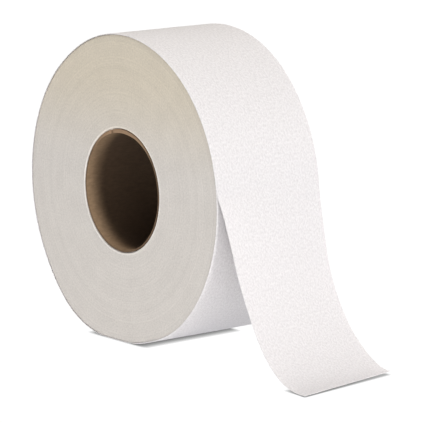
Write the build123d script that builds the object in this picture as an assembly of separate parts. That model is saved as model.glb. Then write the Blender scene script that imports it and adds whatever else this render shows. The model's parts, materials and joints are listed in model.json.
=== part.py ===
from build123d import *
import math
import os

# A jumbo toilet roll for a washroom dispenser, standing on its rim with its end hanging free.
# Two pieces: the tissue web, wound into a roll and hanging free at its end, and the core it is wound on.
# Millimetres. The roll's axis is Y, Z is up, and the free end leaves on the +X side.
# The origin is the middle of the core's bore. The side called near is -Y, and far is +Y.

# --- core ---
core_bore = 83.5         # inside diameter of the paperboard tube
core_wall = 1.8          # glued plies of the tube

# --- wound tissue ---
web_width = 89.0         # the tissue is slit to this width, and the core is cut with it
roll_diameter = 221.0    # over the outermost turn
flat_depth = 2.4         # the soft roll has settled this far at the bottom

# --- free end of the web ---
sheet_thickness = 0.4    # of the hanging sheet
seat_depth = 1.0         # the sheet's line starts this far under the roll's surface
edge_inset = 0.3         # the sheet leaves this far inside the roll's end faces
peel_angle = 13.5        # degrees above level, where the sheet's line starts
near_lean = 20.0         # degrees from vertical, at which the near edge hangs
far_lean = 5.0           # the same for the far edge
near_hang = 0.87         # share of the drop over which the near edge stays nearly straight
far_hang = 0.97          # the same for the far edge
near_reach = 104.5       # how far the near corner lies beyond the roll's side
far_reach = 87.0         # the same for the far corner
near_lay = 44.0          # how gently the near edge comes level with the ground
far_lay = 8.0            # the same for the far edge
tail_drift = 9.0         # how far the end has swung to the near side
drift_at_landing = 0.55  # share of that swing where the sheet comes down

core_radius = core_bore / 2 + core_wall
roll_radius = roll_diameter / 2
ground = flat_depth - roll_radius


def ring(outer_radius, inner_radius, length):
    """A tube along Y, centred on the origin."""
    section = Circle(outer_radius) - Circle(inner_radius)
    return extrude(Plane.XZ * section, length / 2, both=True)


def wound_roll():
    """The turns of tissue, wound tight on the core and settled flat at the bottom."""
    turns = ring(roll_radius, core_radius, web_width)
    below_ground = Pos(0, 0, ground) * Box(
        roll_diameter,
        2 * web_width,
        roll_diameter,
        align=(Align.CENTER, Align.CENTER, Align.MAX),
    )
    return turns - below_ground


def sheet_edge(side, lean, hang, reach, lay):
    """One long edge of the free sheet: it leaves the roll at a lean and ends level on the ground."""
    seat_radius = roll_radius - seat_depth
    peel = math.radians(peel_angle)
    edge_y = side * (web_width / 2 - edge_inset)
    lowest_z = ground + sheet_thickness / 2
    start = Vector(seat_radius * math.cos(peel), edge_y, seat_radius * math.sin(peel))
    drop = (start.Z - lowest_z) * hang
    bend = start + Vector(drop * math.tan(math.radians(lean)), 0, -drop)
    corner = Vector(roll_radius + reach, edge_y - tail_drift, lowest_z)
    landing = corner + Vector(-lay, tail_drift * (1 - drift_at_landing), 0)
    return Edge.make_bezier(start, bend, landing, corner)


def free_sheet():
    """The hanging end of the web: straight lines from the near edge to the far edge, given a thickness."""
    near_edge = sheet_edge(-1, near_lean, near_hang, near_reach, near_lay)
    far_edge = sheet_edge(1, far_lean, far_hang, far_reach, far_lay)
    middle = Face.make_surface_from_curves(near_edge, far_edge)
    return thicken(middle, sheet_thickness / 2, both=True)


core = ring(core_radius, core_bore / 2, web_width)
tissue_web = wound_roll() + free_sheet()

os.makedirs("parts", exist_ok=True)
export_step(core, "parts/core.step")
export_step(tissue_web, "parts/tissue_web.step")
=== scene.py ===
import json
import math

import bpy
import numpy as np
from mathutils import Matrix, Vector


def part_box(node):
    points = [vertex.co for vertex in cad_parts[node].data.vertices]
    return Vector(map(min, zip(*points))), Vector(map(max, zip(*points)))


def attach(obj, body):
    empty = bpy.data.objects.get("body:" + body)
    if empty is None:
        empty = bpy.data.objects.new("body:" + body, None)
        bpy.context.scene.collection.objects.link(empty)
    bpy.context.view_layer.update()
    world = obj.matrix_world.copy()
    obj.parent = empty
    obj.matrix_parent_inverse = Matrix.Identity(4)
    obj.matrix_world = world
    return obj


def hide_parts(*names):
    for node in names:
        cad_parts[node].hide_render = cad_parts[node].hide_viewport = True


bl_info = {
    "name": "Jumbo Tissue Roll",
    "version": (1, 0, 0),
    "blender": (4, 5, 0),
    "location": "3D View > Sidebar > Tissue Roll",
    "description": "Builds a jumbo toilet roll with a hanging sheet around its packed model",
    "category": "Object",
}

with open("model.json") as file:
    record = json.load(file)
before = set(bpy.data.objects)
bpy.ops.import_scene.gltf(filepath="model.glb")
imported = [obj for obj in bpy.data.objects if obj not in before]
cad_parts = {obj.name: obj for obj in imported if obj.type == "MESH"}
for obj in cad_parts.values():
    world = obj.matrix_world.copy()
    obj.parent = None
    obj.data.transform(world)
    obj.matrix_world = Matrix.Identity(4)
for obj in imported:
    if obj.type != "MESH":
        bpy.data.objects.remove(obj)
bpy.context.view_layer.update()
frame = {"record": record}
MM = 0.001

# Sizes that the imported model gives, in metres. The roll's axis is Y and the origin is the middle of its bore.
WEB_LOW, WEB_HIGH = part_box("tissue_web")
CORE_LOW, CORE_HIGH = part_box("core")
ROLL_RADIUS = WEB_HIGH.z
GROUND = WEB_LOW.z
HALF_WIDTH = WEB_HIGH.y
NEAR_CORNER_X = WEB_HIGH.x
TAIL_SWING = WEB_LOW.y + HALF_WIDTH
CORE_RADIUS = CORE_HIGH.z
BORE_RADIUS = frame["record"]["mounts"][0]["dims"]["r_mm"] * MM

FULL_TURN = 2 * math.pi
# How far the tissue and the core each stop short of the radius at which they meet.
FIT_GAP = 0.02 * MM
# Faces that meet at more than this angle keep a hard edge between them.
SHARP_ANGLE = math.radians(50)
# How far each light stands from the origin, in metres.
LIGHT_DISTANCE = 3.0


def linear(code):
    """An sRGB hex colour as linear red, green and blue."""
    channels = [int(code[i : i + 2], 16) / 255 for i in (0, 2, 4)]
    return [c / 12.92 if c <= 0.04045 else ((c + 0.055) / 1.055) ** 2.4 for c in channels]


# --- settings ---


class RollSizes(bpy.types.PropertyGroup):
    """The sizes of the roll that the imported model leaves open."""

    sheet_thickness: bpy.props.FloatProperty(
        name="Sheet thickness",
        description="Thickness of the two plies of tissue, drawn a little full",
        default=0.25 * MM,
        unit="LENGTH",
    )
    peel_angle: bpy.props.FloatProperty(
        name="Peel angle",
        description="Angle above level at which the sheet leaves the roll",
        default=math.radians(7),
        subtype="ANGLE",
    )
    bulge: bpy.props.FloatProperty(
        name="Bulge",
        description="How far the soft turns are pushed out on one side of the flat that the roll stands on",
        default=2.8 * MM,
        unit="LENGTH",
    )
    slack: bpy.props.FloatProperty(
        name="Slack",
        description="How far the soft turns are drawn in on the other side of the flat",
        default=2.7 * MM,
        unit="LENGTH",
    )
    loose: bpy.props.FloatProperty(
        name="Loose top",
        description="How far the last turns stand up over the top at the far side",
        default=1.5 * MM,
        unit="LENGTH",
    )
    edge_round: bpy.props.FloatProperty(
        name="Edge rounding",
        description="How far the soft edge of the roll is rounded over",
        default=0.45 * MM,
        unit="LENGTH",
    )
    seam_angle: bpy.props.FloatProperty(
        name="Seam angle",
        description="Where the core's spiral seam comes out at the near end",
        default=math.radians(106),
        subtype="ANGLE",
    )


class RollColours(bpy.types.PropertyGroup):
    """The colours of the tissue, the core and the ground."""

    tissue: bpy.props.FloatVectorProperty(
        name="Tissue",
        description="Face of the creped white tissue",
        default=linear("F8F6F7"),
        subtype="COLOR",
    )
    cut_edges: bpy.props.FloatVectorProperty(
        name="Cut edges",
        description="The slit edges of the turns, which make the roll's end faces",
        default=linear("D6D2CD"),
        subtype="COLOR",
    )
    chipboard: bpy.props.FloatVectorProperty(
        name="Chipboard",
        description="Grey-brown recycled board of the core",
        default=linear("88725B"),
        subtype="COLOR",
    )
    board_edge: bpy.props.FloatVectorProperty(
        name="Board edge",
        description="The paler cut edge of the core's plies",
        default=linear("9C8168"),
        subtype="COLOR",
    )


# --- meshes ---


def grid_faces(rows, columns, first=0):
    """Corner numbers of the quads of a grid of rows by columns, numbered row by row from first."""
    row, column = np.meshgrid(np.arange(rows - 1), np.arange(columns - 1), indexing="ij")
    corner = first + row * columns + column
    corners = [corner, corner + 1, corner + columns + 1, corner + columns]
    return np.stack(corners, axis=-1).reshape(-1, 4)


def new_piece(name, points, faces, material):
    """A mesh object at the origin from an array of points and an array of quads, with smooth shading."""
    mesh = bpy.data.meshes.new(name)
    mesh.from_pydata(points.reshape(-1, 3).tolist(), [], faces.tolist())
    mesh.shade_smooth()
    mesh.set_sharp_from_angle(angle=SHARP_ANGLE)
    mesh.materials.append(material)
    piece = bpy.data.objects.new(name, mesh)
    bpy.context.scene.collection.objects.link(piece)
    return piece


def soft_floor(z, level, blend):
    """z, but never under level: the larger of the two, with the corner between them rounded over blend."""
    gap = z - level
    return level + 0.5 * (gap + np.sqrt(gap**2 + blend**2))


def ripple(a, b, seed):
    """A smooth field between about -1 and 1: a third of the sum of five sine waves, whose directions and
    phases follow from the seed, over two coordinates given in units of the ripple's length."""
    wave = np.arange(5)
    turn = np.sin(seed + 2.4 * wave) * math.pi
    pace = 0.7 + 0.15 * wave
    waves = [
        np.sin(FULL_TURN * pace[i] * (a * math.cos(turn[i]) + b * math.sin(turn[i])) + seed * (i + 1))
        for i in wave
    ]
    return sum(waves) / 3.0


def bell(value, middle, spread):
    """A bump of height one: e to the power of minus the squared distance from the middle, in spreads."""
    return np.exp(-(((value - middle) / spread) ** 2))


def settled_outline(angle, radius, across, sizes):
    """The roll's outline in X and Z at an angle from +X towards +Z, at a place across it from -1, near, to 1,
    far. It is a circle with four bell-shaped changes: pushed out low on the left, drawn in low on the right,
    more so at the far side, drawn in slightly at the upper left, and raised over the top at the far side,
    where the last turns are loose. It is cut off level at the ground with a rounded corner."""
    # Each bell has its middle and its spread in degrees.
    turn = np.degrees(angle) % 360
    low_left = sizes.bulge * bell(turn, 238.5, 18)
    low_right = (sizes.slack + 0.7 * MM * across) * bell(turn, 284, 15)
    high_left = 0.2 * sizes.bulge * bell(turn, 124, 12)
    loose_top = sizes.loose * 0.5 * (1 + across) * bell(turn, 70, 30)
    reach = radius + low_left - low_right - high_left + loose_top
    foot_round = 1.4 * MM
    return reach * np.cos(angle), soft_floor(reach * np.sin(angle), GROUND, foot_round)


def edge_drop(across, sizes):
    """How far the roll's surface falls below its radius at a place across it from -1 to 1: nothing in the
    middle, and a quarter circle at each edge."""
    into_edge = np.clip(1 - (1 - np.abs(across)) * HALF_WIDTH / sizes.edge_round, 0, 1)
    return sizes.edge_round * (1 - np.sqrt(1 - into_edge**2))


def signed_turn(angle):
    """An angle brought to between minus half a turn and half a turn."""
    return (angle + math.pi) % FULL_TURN - math.pi


def bunched(count):
    """Numbers from 0 to 1, close together at both ends: half of one minus the cosine of an even half turn."""
    return 0.5 - 0.5 * np.cos(np.linspace(0, math.pi, count))


def wound_turns_surface(sizes):
    """The wound roll under its last turn, as a closed profile carried round the axis: out over the near end
    face, across under the last turn, back in over the far end face, and across the hole round the core. Both
    end faces stand up and down by one or two hundredths of a millimetre in rings, because no two turns are
    wound in line, and a little more in patches. They have a groove and a low lip beside the core."""
    around, across = 420, 112
    angle = np.arange(around)[:, None] * FULL_TURN / around
    share = bunched(across)[None, :]
    # The sheet's spiral takes 1.2 thicknesses and the sheet itself one, which leaves it 0.2 clear.
    under_sheet = ROLL_RADIUS - 2.4 * sizes.sheet_thickness - 0.55 * sizes.edge_round
    inner = CORE_RADIUS + FIT_GAP
    radius = inner + (under_sheet - inner) * share
    soft = share**3

    def end_face(side, seed):
        """One end face. Its relief is in millimetres, and is less than nothing where it lies inside the web."""
        x_out, z_out = settled_outline(angle, under_sheet, side, sizes)
        x = ((1 - soft) * np.cos(angle) + soft * x_out / under_sheet) * radius
        z = ((1 - soft) * np.sin(angle) + soft * z_out / under_sheet) * radius
        rings = 0.014 * ripple(radius / (3.6 * MM), 0 * radius, seed)
        wide_rings = 0.006 * ripple(radius / (9 * MM), 0 * radius, seed + 1)
        patches = 0.06 * ripple(x / (38 * MM), z / (38 * MM), seed + 2)
        small_patches = 0.03 * ripple(x / (11 * MM), z / (11 * MM), seed + 3)
        from_core = (radius - inner) / MM
        lip = 0.3 * bell(from_core, 1.4, 0.9)
        groove = 1.6 * bell(from_core, 0, 0.6)
        shoulder = 0.2 * np.clip((radius - under_sheet) / MM + 1, 0, 1) ** 2
        set_back = 0.2
        relief = rings + wide_rings + patches + small_patches + lip - groove - shoulder - set_back
        y = side * (HALF_WIDTH + relief * MM)
        return np.stack([x, y, np.maximum(z, GROUND + 0.5 * MM)], axis=-1)

    loop = np.concatenate([end_face(-1, 1.0), end_face(1, 5.0)[:, ::-1]], axis=1)
    loop_radius = np.broadcast_to(np.concatenate([radius, radius[:, ::-1]], axis=1), loop.shape[:2])
    return loop, loop_radius


def carried_quads(around, points):
    """Quads of a closed profile of points, carried all the way round. The profile's last point joins its
    first."""
    row, column = np.meshgrid(np.arange(around), np.arange(points), indexing="ij")
    row_after, column_after = (row + 1) % around * points, (column + 1) % points
    row = row * points
    corners = [row + column, row_after + column, row_after + column_after, row + column_after]
    return np.stack(corners, axis=-1).reshape(-1, 4)


def bezier(share, points):
    """A Bezier curve of any degree: each control point weighted by its Bernstein polynomial of share."""
    degree = len(points) - 1
    weights = [math.comb(degree, i) * share**i * (1 - share) ** (degree - i) for i in range(degree + 1)]
    return np.stack(weights, axis=-1) @ np.array(points)


def evenly(curve, count):
    """Points on a finely drawn curve, count of them, at equal steps of its length, and that length."""
    step = np.linalg.norm(np.diff(curve, axis=0), axis=1)
    run = np.concatenate([[0], np.cumsum(step)])
    stops = np.linspace(0, run[-1], count)
    return np.stack([np.interp(stops, run, curve[:, i]) for i in range(3)], axis=-1), run[-1]


def tail_edges(sizes, count):
    """The near and the far edge of the hanging sheet, from where it peels off to the cut end. Each is a Bezier
    curve of degree five that starts along the roll and ends nearly level with the ground, with the cut end a
    little off it, more so at the far corner. The cut end has swung towards the near side."""
    x, z = settled_outline(np.array(sizes.peel_angle), ROLL_RADIUS, 0.0, sizes)
    level = GROUND + sizes.sheet_thickness
    along_roll = np.array([math.sin(sizes.peel_angle), -math.cos(sizes.peel_angle)])
    swing = np.array([0, 0, 0, 0.3, 0.65, 1]) * TAIL_SWING

    def edge(side, start, second, third, level_from, end):
        """One edge: it follows the roll for its start, and is near the level of the ground from level_from."""
        points = np.zeros((6, 3))
        points[:, 0] = [x, x + along_roll[0] * start, second[0], third[0], level_from, end[0]]
        points[:, 1] = side * HALF_WIDTH + swing
        points[:, 2] = [z, z + along_roll[1] * start, second[1], third[1], level, end[1]]
        return evenly(bezier(np.linspace(0, 1, 2000), points), count)

    near, near_length = edge(
        side=-1,
        start=15.6 * MM,
        second=(x + 10.8 * MM, z + 12.5 * MM),
        third=(140.9 * MM, -113 * MM),
        level_from=NEAR_CORNER_X - 28.2 * MM,
        end=(NEAR_CORNER_X, level + 0.5 * MM),
    )
    far, far_length = edge(
        side=1,
        start=26 * MM,
        second=(x + 14.9 * MM, z - 74.2 * MM),
        third=(125.7 * MM, -65.5 * MM),
        level_from=NEAR_CORNER_X - 49.8 * MM,
        end=(NEAR_CORNER_X - 17.5 * MM, level + 2.0 * MM),
    )
    return near, far, (near_length + far_length) / 2


def tissue_sheet_surface(sizes):
    """The last turn and the hanging end of the web as one sheet. On the roll it is a spiral that gains 1.2
    sheet thicknesses in a turn, rounded over at both edges. It starts 10 degrees before it passes under
    itself. Below the roll each row joins the near edge to the far edge. A slight ripple stands off both, and
    the sheet's back lies one thickness under its face, along the surface's own normals."""
    turn_rows, tail_rows, columns = 470, 160, 71
    overlap = math.radians(10)
    flatten_over = 0.35  # radians before it peels off, in which the sheet's rounded edges come level
    across = 2 * bunched(columns)[None, :] - 1
    still_to_go = np.linspace(FULL_TURN + overlap, 0, turn_rows)[:, None]
    off_roll = np.clip(1 - still_to_go / flatten_over, 0, 1) ** 2
    radius = ROLL_RADIUS - 1.2 * sizes.sheet_thickness * still_to_go / FULL_TURN
    radius = radius - edge_drop(across, sizes) * (1 - off_roll)
    x, z = settled_outline(sizes.peel_angle + still_to_go, radius, across, sizes)
    wound = np.stack([x, np.broadcast_to(across * HALF_WIDTH, x.shape), z], axis=-1)
    near, far, tail_length = tail_edges(sizes, tail_rows)
    share = (across[..., None] + 1) / 2
    hanging = near[:, None, :] * (1 - share) + far[:, None, :] * share
    sheet = np.concatenate([wound, hanging[1:]], axis=0)
    wound_run = -still_to_go[:, 0] * ROLL_RADIUS
    run = np.concatenate([wound_run, np.linspace(0, tail_length, tail_rows)[1:]])

    down_web, cross_web = np.gradient(sheet, axis=0), np.gradient(sheet, axis=1)
    normal = np.cross(cross_web, down_web)
    normal /= np.linalg.norm(normal, axis=-1, keepdims=True)
    s, w = np.meshgrid(run, across[0] * HALF_WIDTH, indexing="ij")
    on_roll = np.clip(-s / (30 * MM), 0, 1)
    hanging_free = np.clip(s / (40 * MM), 0, 1) * np.clip((tail_length - s) / (25 * MM), 0, 1)
    wave = 0.05 * MM * on_roll * ripple(s / (26 * MM), w / (60 * MM), 2.0)
    wave = wave + 0.28 * MM * hanging_free * ripple(s / (60 * MM), w / (75 * MM), 7.0)
    face = sheet + normal * wave[..., None]
    back = face - normal * sizes.sheet_thickness
    back[..., 2] = np.maximum(back[..., 2], GROUND + 0.01 * MM)
    face[..., 2] = np.maximum(face[..., 2], GROUND + 0.2 * MM)
    return face, back, s, w, run[-1] - run[0]


def shell_quads(rows, columns):
    """Quads that close a sheet drawn twice, face first and back second: the face, the back the other way round,
    and a strip along each of the four sides."""
    count = rows * columns
    face = grid_faces(rows, columns)
    back = grid_faces(rows, columns, count)[:, ::-1]
    number = np.arange(count).reshape(rows, columns)
    rim = np.concatenate([number[0, :-1], number[:-1, -1], number[-1, :0:-1], number[:0:-1, 0]])
    after = np.roll(rim, -1)
    sides = np.stack([after, rim, rim + count, after + count], axis=-1)
    return np.concatenate([face, back, sides])


def core_surface(sizes):
    """The core as a closed profile carried round the axis: the near end, the outside, the far end and the
    bore. A narrow gap between two turns of the inner ply runs along a helix in the bore. The cut ends stand up
    and down a little. The near end is crushed inwards at the top and drawn thin elsewhere, and has a nick
    where the gap comes out."""
    around, along, over_end, outside = 384, 120, 6, 4
    angle = np.arange(around)[:, None] * FULL_TURN / around
    half = CORE_HIGH.y
    outer = CORE_RADIUS - FIT_GAP
    wall = outer - BORE_RADIUS
    end_share = np.linspace(0, 1, over_end)
    end_out = BORE_RADIUS + wall * end_share
    end_in = outer - wall * end_share
    bore = np.full(along - 2, BORE_RADIUS)
    radius = np.concatenate([end_out, np.full(outside, outer), end_in, bore])[None, :]
    outward = np.linspace(-half, half, outside + 2)[1:-1]
    inward = np.linspace(half, -half, along)[1:-1]
    place = np.concatenate([np.full(over_end, -half), outward, np.full(over_end, half), inward])[None, :]
    in_bore = (np.arange(radius.shape[1]) >= 2 * over_end + outside)[None, :]
    on_end = np.abs(place) > half - 0.01 * MM

    # The gap winds 300 degrees round the bore from one end to the other.
    seam = sizes.seam_angle - (place + half) / (2 * half) * math.radians(300)
    beside_seam = signed_turn(angle - seam) * BORE_RADIUS
    gap = 0.35 * MM * bell(beside_seam, 0, 0.7 * MM)
    uneven = 0.06 * MM * ripple(angle * 3, place / (30 * MM), 3.0)
    r = radius + in_bore * (gap - uneven)

    crush_depth = 6 * MM
    near_end = np.clip((-place - half + crush_depth) / crush_depth, 0, 1) ** 2
    at_top = bell(signed_turn(angle - math.radians(92)), 0, math.radians(38))
    crushed = (1.7 * at_top - 0.75) * MM * near_end
    r = r - crushed * (outer - radius) / wall

    trimmed = 0.12 * MM
    ragged = 0.10 * MM * ripple(angle * 2.2, 0 * angle, 4.0) + 0.05 * MM * ripple(angle * 9, 0 * angle, 6.0)
    nick = 2.2 * MM * bell(beside_seam, 0, 1.0 * MM) * (place < 0)
    through_wall = np.clip((radius - BORE_RADIUS) / wall, 0, 1)
    bevel = 0.18 * MM * (1 - np.sin(through_wall * math.pi)) ** 2
    y = place - np.sign(place) * on_end * (trimmed + ragged + nick + bevel)
    points = np.stack([r * np.cos(angle), np.broadcast_to(y, r.shape), r * np.sin(angle)], axis=-1)
    cut_end = np.broadcast_to(on_end.astype(float), r.shape)
    return points, cut_end, bell(beside_seam, 0, 0.9 * MM) * in_bore


def store(mesh, name, values):
    """Keeps one number for each vertex as a named attribute."""
    kept = mesh.attributes.new(name, "FLOAT", "POINT")
    kept.data.foreach_set("value", np.ascontiguousarray(values, np.float32).ravel())


def store_web_map(mesh, along, across):
    """A UV map in metres: along the web, and across it."""
    corner = np.empty(len(mesh.loops), np.int32)
    mesh.loops.foreach_get("vertex_index", corner)
    places = np.stack([along.ravel()[corner], across.ravel()[corner]], axis=-1)
    mesh.uv_layers.new(name="web").data.foreach_set("uv", places.astype(np.float32).ravel())


# --- materials ---


def add_node(tree, kind, inputs=None, **settings):
    """Adds a node, sets its settings, and gives each named or numbered input a value or a link."""
    made = tree.nodes.new(kind)
    for name, value in settings.items():
        setattr(made, name, value)
    for name, value in (inputs or {}).items():
        if isinstance(value, bpy.types.NodeSocket):
            tree.links.new(value, made.inputs[name])
        else:
            made.inputs[name].default_value = value
    return made


def new_material(name):
    """An empty node material and its tree."""
    material = bpy.data.materials.new(name)
    material.use_nodes = True
    material.node_tree.nodes.clear()
    return material, material.node_tree


def shade(colour, by):
    """A colour with an alpha of one, made lighter or darker by a factor."""
    return [min(1.0, c * by) for c in colour] + [1.0]


def creped_tissue(colours):
    """Two-ply tissue, creped off a drying cylinder: soft, matt and nearly white, with fine ridges that break up
    the light, cloudy fibre formation, and a rare fleck of recycled fibre."""
    material, tree = new_material("Creped tissue")
    web = add_node(tree, "ShaderNodeUVMap", uv_map="web").outputs["UV"]
    # Crepe ridges are about 0.3 mm apart. They are drawn 1.3 to 1.7 mm apart so that they show.
    ridges_per_metre = (1 / (1.7 * MM), 1 / (1.3 * MM), 1)
    clouds_per_metre = (1 / (7 * MM), 1 / (5 * MM), 1)
    flecks_per_metre = (1 / (11 * MM), 1 / (11 * MM), 1)
    ridges_at = add_node(tree, "ShaderNodeMapping", {"Vector": web, "Scale": ridges_per_metre}).outputs[0]
    clouds_at = add_node(tree, "ShaderNodeMapping", {"Vector": web, "Scale": clouds_per_metre}).outputs[0]
    flecks_at = add_node(tree, "ShaderNodeMapping", {"Vector": web, "Scale": flecks_per_metre}).outputs[0]
    ridges = add_node(
        tree, "ShaderNodeTexNoise", {"Vector": ridges_at, "Scale": 1, "Detail": 2, "Roughness": 0.6}
    )
    clouds = add_node(
        tree, "ShaderNodeTexNoise", {"Vector": clouds_at, "Scale": 1, "Detail": 3, "Roughness": 0.55}
    )
    flecks = add_node(tree, "ShaderNodeTexVoronoi", {"Vector": flecks_at, "Scale": 1})
    fleck = add_node(
        tree,
        "ShaderNodeMapRange",
        {"Value": flecks.outputs["Distance"], "From Min": 0.02, "From Max": 0.045, "To Min": 1, "To Max": 0},
    )
    mottle = add_node(tree, "ShaderNodeMapRange", {"Value": ridges.outputs[0], "From Min": 0.3, "From Max": 0.7})
    ground_tone = add_node(
        tree,
        "ShaderNodeMix",
        {"Factor": clouds.outputs[0], 6: shade(colours.tissue, 0.985), 7: shade(colours.tissue, 1.01)},
        data_type="RGBA",
    )
    grain_tone = add_node(
        tree,
        "ShaderNodeMix",
        {"Factor": mottle.outputs[0], 6: (0.83, 0.825, 0.828, 1), 7: (1, 1, 1, 1)},
        data_type="RGBA",
    )
    grained = add_node(
        tree,
        "ShaderNodeMix",
        {"Factor": 1.0, 6: ground_tone.outputs[2], 7: grain_tone.outputs[2]},
        data_type="RGBA",
        blend_type="MULTIPLY",
    )
    flecked = add_node(
        tree,
        "ShaderNodeMix",
        {"Factor": fleck.outputs[0], 6: grained.outputs[2], 7: shade(colours.tissue, 0.8)},
        data_type="RGBA",
    )
    relief = add_node(
        tree, "ShaderNodeBump", {"Height": ridges.outputs[0], "Strength": 0.8, "Distance": 0.6 * MM}
    )
    surface = add_node(
        tree,
        "ShaderNodeBsdfPrincipled",
        {
            "Base Color": flecked.outputs[2],
            "Normal": relief.outputs[0],
            "Roughness": 0.95,
            "IOR": 1.45,
            "Specular IOR Level": 0.15,
        },
    )
    # A single sheet lets over a quarter of the light through.
    glow = add_node(
        tree, "ShaderNodeBsdfTranslucent", {"Color": flecked.outputs[2], "Normal": relief.outputs[0]}
    )
    sheet = add_node(tree, "ShaderNodeMixShader", {0: 0.28, 1: surface.outputs[0], 2: glow.outputs[0]})
    add_node(tree, "ShaderNodeOutputMaterial", {"Surface": sheet.outputs[0]})
    return material


def cut_edges(colours):
    """The end faces: hundreds of slit tissue edges side by side. They drink light, so they look greyer and
    warmer than the sheet, with faint rings where the winding tension changed and a dusty mottle over them. A
    painted highlight lightens the first turns on the core, and painted warm light tints the faces towards the
    top."""
    material, tree = new_material("Slit tissue edges")
    turn = add_node(tree, "ShaderNodeAttribute", attribute_name="turn_radius").outputs["Fac"]
    place = add_node(tree, "ShaderNodeTexCoord").outputs["Object"]
    # Wound turns lie about 0.11 mm apart. They are drawn in bundles of about 1.3 mm so that they show.
    fine = add_node(
        tree, "ShaderNodeTexNoise", {"W": turn, "Scale": 1 / (1.3 * MM), "Detail": 2}, noise_dimensions="1D"
    )
    broad = add_node(
        tree, "ShaderNodeTexNoise", {"W": turn, "Scale": 1 / (6 * MM), "Detail": 1}, noise_dimensions="1D"
    )
    dust = add_node(
        tree, "ShaderNodeTexNoise", {"Vector": place, "Scale": 1 / (1.3 * MM), "Detail": 1, "Roughness": 0.5}
    )
    blotches = add_node(
        tree, "ShaderNodeTexNoise", {"Vector": place, "Scale": 1 / (16 * MM), "Detail": 2, "Roughness": 0.5}
    )
    rings = add_node(
        tree, "ShaderNodeMix", {"Factor": 0.25, 2: fine.outputs[0], 3: broad.outputs[0]}, data_type="FLOAT"
    )
    speckle = add_node(
        tree, "ShaderNodeMix", {"Factor": 0.25, 2: dust.outputs[0], 3: blotches.outputs[0]}, data_type="FLOAT"
    )
    both = add_node(
        tree, "ShaderNodeMix", {"Factor": 0.7, 2: rings.outputs[0], 3: speckle.outputs[0]}, data_type="FLOAT"
    )
    tone = add_node(tree, "ShaderNodeMapRange", {"Value": both.outputs[0], "From Min": 0.35, "From Max": 0.65})
    ringed = add_node(
        tree,
        "ShaderNodeMix",
        {"Factor": tone.outputs[0], 6: shade(colours.cut_edges, 0.91), 7: shade(colours.cut_edges, 1.09)},
        data_type="RGBA",
    )
    # The first turns on the core stand a little proud, and a painted highlight makes their colour lighter there.
    first = add_node(
        tree,
        "ShaderNodeMapRange",
        {
            "Value": turn,
            "From Min": CORE_RADIUS + 0.9 * MM,
            "From Max": CORE_RADIUS + 2.6 * MM,
            "To Min": 0.4,
            "To Max": 0,
        },
    )
    lip_highlighted = add_node(
        tree,
        "ShaderNodeMix",
        {"Factor": first.outputs[0], 6: ringed.outputs[2], 7: shade(colours.cut_edges, 1.45)},
        data_type="RGBA",
    )
    # Painted light: the slit edges are painted warmer towards the top, standing in for the warm light from
    # above.
    height = add_node(tree, "ShaderNodeSeparateXYZ", {0: place})
    upper = add_node(
        tree,
        "ShaderNodeMapRange",
        {"Value": height.outputs["Z"], "From Min": 10 * MM, "From Max": 85 * MM},
        interpolation_type="SMOOTHSTEP",
    )
    painted_warm_light = add_node(
        tree,
        "ShaderNodeMix",
        {"Factor": upper.outputs[0], 6: (1, 0.995, 1, 1), 7: (0.99, 0.94, 0.83, 1)},
        data_type="RGBA",
    )
    warm_lit_edges = add_node(
        tree,
        "ShaderNodeMix",
        {"Factor": 1.0, 6: lip_highlighted.outputs[2], 7: painted_warm_light.outputs[2]},
        data_type="RGBA",
        blend_type="MULTIPLY",
    )
    relief = add_node(tree, "ShaderNodeBump", {"Height": both.outputs[0], "Strength": 0.5, "Distance": 0.5 * MM})
    surface = add_node(
        tree,
        "ShaderNodeBsdfPrincipled",
        {
            "Base Color": warm_lit_edges.outputs[2],
            "Normal": relief.outputs[0],
            "Roughness": 1.0,
            "IOR": 1.45,
            "Specular IOR Level": 0.1,
        },
    )
    add_node(tree, "ShaderNodeOutputMaterial", {"Surface": surface.outputs[0]})
    return material


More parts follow.
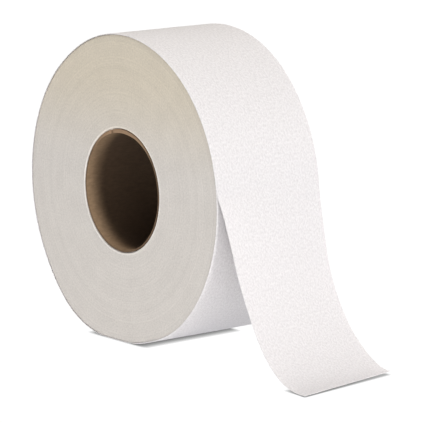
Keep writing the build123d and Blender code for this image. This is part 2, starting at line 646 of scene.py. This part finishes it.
def chipboard(colours):
    """Spiral-wound recycled board: grey-brown and matt, with long fibres pressed flat along the winding, a dark
    line in the gap between turns of the ply, a cut edge that is pale at the top and darker lower down, and
    painted shade that darkens the bore towards its middle."""
    material, tree = new_material("Spiral-wound chipboard")
    place = add_node(tree, "ShaderNodeTexCoord").outputs["Object"]
    end = add_node(tree, "ShaderNodeAttribute", attribute_name="cut_end").outputs["Fac"]
    gap = add_node(tree, "ShaderNodeAttribute", attribute_name="ply_gap").outputs["Fac"]
    fibres_at = add_node(
        tree, "ShaderNodeMapping", {"Vector": place, "Rotation": (0.4, 0, 0), "Scale": (1, 0.35, 1)}
    )
    fibres = add_node(
        tree,
        "ShaderNodeTexNoise",
        {"Vector": fibres_at.outputs[0], "Scale": 1 / (1.6 * MM), "Detail": 4, "Roughness": 0.65},
    )
    stains = add_node(
        tree, "ShaderNodeTexNoise", {"Vector": place, "Scale": 1 / (18 * MM), "Detail": 2, "Roughness": 0.5}
    )
    tone = add_node(tree, "ShaderNodeMapRange", {"Value": fibres.outputs[0], "From Min": 0.3, "From Max": 0.7})
    board = add_node(
        tree,
        "ShaderNodeMix",
        {"Factor": tone.outputs[0], 6: shade(colours.chipboard, 0.82), 7: shade(colours.chipboard, 1.12)},
        data_type="RGBA",
    )
    stained = add_node(
        tree,
        "ShaderNodeMix",
        {"Factor": stains.outputs[0], 6: (0.9, 0.86, 0.8, 1), 7: (1, 1, 1, 1)},
        data_type="RGBA",
    )
    bore = add_node(
        tree,
        "ShaderNodeMix",
        {"Factor": 1.0, 6: board.outputs[2], 7: stained.outputs[2]},
        data_type="RGBA",
        blend_type="MULTIPLY",
    )
    # Painted shade: the board is painted darker over the middle of the bore and keeps its own colour towards
    # both ends.
    apart = add_node(tree, "ShaderNodeSeparateXYZ", {0: place})
    inside = add_node(tree, "ShaderNodeMath", {0: apart.outputs["Y"]}, operation="ABSOLUTE")
    painted_shade_fade = add_node(
        tree,
        "ShaderNodeMapRange",
        {"Value": inside.outputs[0], "From Min": 28 * MM, "From Max": 42 * MM},
        interpolation_type="SMOOTHSTEP",
    )
    painted_bore_shade = add_node(
        tree,
        "ShaderNodeMix",
        {"Factor": painted_shade_fade.outputs[0], 6: (0.28, 0.26, 0.26, 1), 7: (1, 1, 1, 1)},
        data_type="RGBA",
    )
    bore_shaded = add_node(
        tree,
        "ShaderNodeMix",
        {"Factor": 1.0, 6: bore.outputs[2], 7: painted_bore_shade.outputs[2]},
        data_type="RGBA",
        blend_type="MULTIPLY",
    )
    gapped = add_node(
        tree,
        "ShaderNodeMix",
        {"Factor": gap, 6: bore_shaded.outputs[2], 7: shade(colours.chipboard, 0.45)},
        data_type="RGBA",
    )
    # The cut end is coloured pale from about 38 mm above the axis, and darker, at 0.45 of its colour, below
    # about 24 mm.
    upper_end_fade = add_node(
        tree, "ShaderNodeMapRange", {"Value": apart.outputs["Z"], "From Min": 24 * MM, "From Max": 38 * MM}
    )
    cut = add_node(
        tree,
        "ShaderNodeMix",
        {"Factor": upper_end_fade.outputs[0], 6: shade(colours.board_edge, 0.45), 7: shade(colours.board_edge, 1)},
        data_type="RGBA",
    )
    ended = add_node(
        tree, "ShaderNodeMix", {"Factor": end, 6: gapped.outputs[2], 7: cut.outputs[2]}, data_type="RGBA"
    )
    relief = add_node(
        tree, "ShaderNodeBump", {"Height": fibres.outputs[0], "Strength": 0.4, "Distance": 0.2 * MM}
    )
    surface = add_node(
        tree,
        "ShaderNodeBsdfPrincipled",
        {
            "Base Color": ended.outputs[2],
            "Normal": relief.outputs[0],
            "Roughness": 0.9,
            "IOR": 1.45,
            "Specular IOR Level": 0.2,
        },
    )
    add_node(tree, "ShaderNodeOutputMaterial", {"Surface": surface.outputs[0]})
    return material


def studio_floor():
    """A white floor that burns out to plain white where nothing is near, with a short soft shadow painted in at
    each contact from ambient occlusion, seen by the camera only. To the light it is a paler white that glows a
    little and lights the roll from below."""
    material, tree = new_material("Studio floor")
    # Painted shadow: the glow the camera sees is dimmed where anything is within 4 mm.
    near = add_node(tree, "ShaderNodeAmbientOcclusion", {"Distance": 4 * MM}, samples=32)
    painted_contact_shadow = add_node(
        tree,
        "ShaderNodeMapRange",
        {"Value": near.outputs["AO"], "From Min": 0.1, "From Max": 0.95, "To Min": 0.22, "To Max": 1.05},
    )
    seen = add_node(tree, "ShaderNodeEmission", {"Color": (1, 1, 1, 1), "Strength": painted_contact_shadow.outputs[0]})
    white = add_node(tree, "ShaderNodeBsdfDiffuse", {"Color": (0.85, 0.85, 0.85, 1)})
    glow = add_node(tree, "ShaderNodeEmission", {"Color": linear("FAFCFF") + [1], "Strength": 0.44})
    lit = add_node(tree, "ShaderNodeAddShader", {0: white.outputs[0], 1: glow.outputs[0]})
    looked_at = add_node(tree, "ShaderNodeLightPath").outputs["Is Camera Ray"]
    floor = add_node(tree, "ShaderNodeMixShader", {0: looked_at, 1: lit.outputs[0], 2: seen.outputs[0]})
    add_node(tree, "ShaderNodeOutputMaterial", {"Surface": floor.outputs[0]})
    return material


# --- pieces and stage ---


class TISSUE_OT_wound_turns(bpy.types.Operator):
    """Build the wound turns under the last one, with both end faces"""

    bl_idname = "tissue.wound_turns"
    bl_label = "Wound turns"

    def execute(self, context):
        points, radius = wound_turns_surface(context.scene.roll_sizes)
        faces = carried_quads(points.shape[0], points.shape[1])
        piece = new_piece("wound_turns", points, faces, cut_edges(context.scene.roll_colours))
        store(piece.data, "turn_radius", radius)
        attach(piece, "root")
        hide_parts("tissue_web")
        return {"FINISHED"}


class TISSUE_OT_tissue_sheet(bpy.types.Operator):
    """Build the last turn of the web and its hanging end as one sheet"""

    bl_idname = "tissue.sheet"
    bl_label = "Last turn and hanging sheet"

    def execute(self, context):
        face, back, along, across, length = tissue_sheet_surface(context.scene.roll_sizes)
        rows, columns = along.shape
        points = np.concatenate([face.reshape(-1, 3), back.reshape(-1, 3)])
        faces = shell_quads(rows, columns)
        piece = new_piece("tissue_sheet", points, faces, creped_tissue(context.scene.roll_colours))
        store_web_map(piece.data, np.concatenate([along, along]), np.concatenate([across, across]))
        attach(piece, "root")
        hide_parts("tissue_web")
        return {"FINISHED"}


class TISSUE_OT_core_tube(bpy.types.Operator):
    """Build the paperboard core with its spiral seam"""

    bl_idname = "tissue.core_tube"
    bl_label = "Core tube"

    def execute(self, context):
        points, cut_end, ply_gap = core_surface(context.scene.roll_sizes)
        faces = carried_quads(points.shape[0], points.shape[1])[:, ::-1]
        piece = new_piece("core_tube", points, faces, chipboard(context.scene.roll_colours))
        store(piece.data, "cut_end", cut_end)
        store(piece.data, "ply_gap", ply_gap)
        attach(piece, "root")
        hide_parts("core")
        return {"FINISHED"}


def place_light(name, bearing, height, size, power, tint):
    """A square soft box that points at the roll, from a bearing (degrees from -Y towards +X) and a height
    (degrees above level)."""
    light = bpy.data.lights.new(name, "AREA")
    light.color = linear(tint)
    light.size = size
    light.energy = power
    lamp = bpy.data.objects.new(name, light)
    turn, rise = math.radians(bearing), math.radians(height)
    lamp.location = (
        LIGHT_DISTANCE * math.sin(turn) * math.cos(rise),
        -LIGHT_DISTANCE * math.cos(turn) * math.cos(rise),
        LIGHT_DISTANCE * math.sin(rise),
    )
    lamp.rotation_euler = (math.pi / 2 - rise, 0, turn)
    bpy.context.scene.collection.objects.link(lamp)


def place_camera(scene):
    """A camera with a long lens, at a bearing and a rise like a light's, aimed a little to the right of the
    roll's middle and below it so that the hanging end is in view."""
    camera = bpy.data.cameras.new("camera")
    camera.lens = 280.4
    camera.sensor_fit = "HORIZONTAL"
    holder = bpy.data.objects.new("camera", camera)
    bearing, rise, distance = math.radians(52.31), math.radians(9.88), 2.352
    aim_right, aim_down = 28.88 * MM, 19.24 * MM
    level = math.cos(rise)
    right = np.array([math.cos(bearing), math.sin(bearing), 0])
    back = np.array([math.sin(bearing) * level, -math.cos(bearing) * level, math.sin(rise)])
    up = np.cross(back, right)
    holder.location = aim_right * right - aim_down * up + distance * back
    holder.rotation_euler = (math.pi / 2 - rise, 0, bearing)
    scene.collection.objects.link(holder)
    scene.camera = holder


def white_surround(strength):
    """A world that is plain white to look at and gives an even, dimmer fill."""
    world = bpy.data.worlds.new("Studio")
    world.use_nodes = True
    tree = world.node_tree
    tree.nodes.clear()
    looked_at = add_node(tree, "ShaderNodeLightPath").outputs["Is Camera Ray"]
    fill = add_node(tree, "ShaderNodeBackground", {"Color": (1, 1, 1, 1), "Strength": strength})
    seen = add_node(tree, "ShaderNodeBackground", {"Color": (1, 1, 1, 1), "Strength": 1.05})
    both = add_node(tree, "ShaderNodeMixShader", {0: looked_at, 1: fill.outputs[0], 2: seen.outputs[0]})
    add_node(tree, "ShaderNodeOutputWorld", {"Surface": both.outputs[0]})
    return world


class TISSUE_OT_stage(bpy.types.Operator):
    """Set the floor, the studio lights and the camera"""

    bl_idname = "tissue.stage"
    bl_label = "Studio and camera"

    def execute(self, context):
        scene = context.scene
        scene.view_settings.view_transform = "Standard"
        scene.world = white_surround(0.23)
        floor_reach = 6.0
        square = np.array([[-1, -1, 0], [1, -1, 0], [1, 1, 0], [-1, 1, 0]])
        corners = square * floor_reach + [0, 0, GROUND]
        floor = new_piece("floor", corners, np.array([[0, 1, 2, 3]]), studio_floor())
        # A small bright box at the side draws the edge of the lit band in the bore. The others are soft.
        place_light("key", bearing=82, height=38, size=0.4, power=45, tint="FFFEFE")
        place_light("low", bearing=62, height=8, size=1.3, power=22, tint="FFFEFE")
        place_light("top", bearing=-10, height=84, size=1.3, power=30, tint="FFF8EC")
        place_light("back", bearing=-100, height=46, size=1.3, power=23, tint="FFFAF2")
        place_camera(scene)
        return {"FINISHED"}


class TISSUE_PT_roll(bpy.types.Panel):
    """Sizes and colours of the roll, and a button for each piece"""

    bl_label = "Tissue Roll"
    bl_idname = "TISSUE_PT_roll"
    bl_space_type = "VIEW_3D"
    bl_region_type = "UI"
    bl_category = "Tissue Roll"

    def draw(self, context):
        for group in (context.scene.roll_sizes, context.scene.roll_colours):
            for name in group.__annotations__:
                self.layout.prop(group, name)
        for step in BUILD_ORDER:
            self.layout.operator(step.bl_idname)


BUILD_ORDER = (TISSUE_OT_stage, TISSUE_OT_core_tube, TISSUE_OT_wound_turns, TISSUE_OT_tissue_sheet)
CLASSES = (RollSizes, RollColours, *BUILD_ORDER, TISSUE_PT_roll)


def register():
    for item in CLASSES:
        bpy.utils.register_class(item)
    bpy.types.Scene.roll_sizes = bpy.props.PointerProperty(type=RollSizes)
    bpy.types.Scene.roll_colours = bpy.props.PointerProperty(type=RollColours)


def unregister():
    del bpy.types.Scene.roll_colours
    del bpy.types.Scene.roll_sizes
    for item in reversed(CLASSES):
        bpy.utils.unregister_class(item)


def main():
    """Registers the classes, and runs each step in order."""
    register()
    for step in BUILD_ORDER:
        group, name = step.bl_idname.split(".")
        getattr(getattr(bpy.ops, group), name)()


if __name__ == "__main__":
    main()
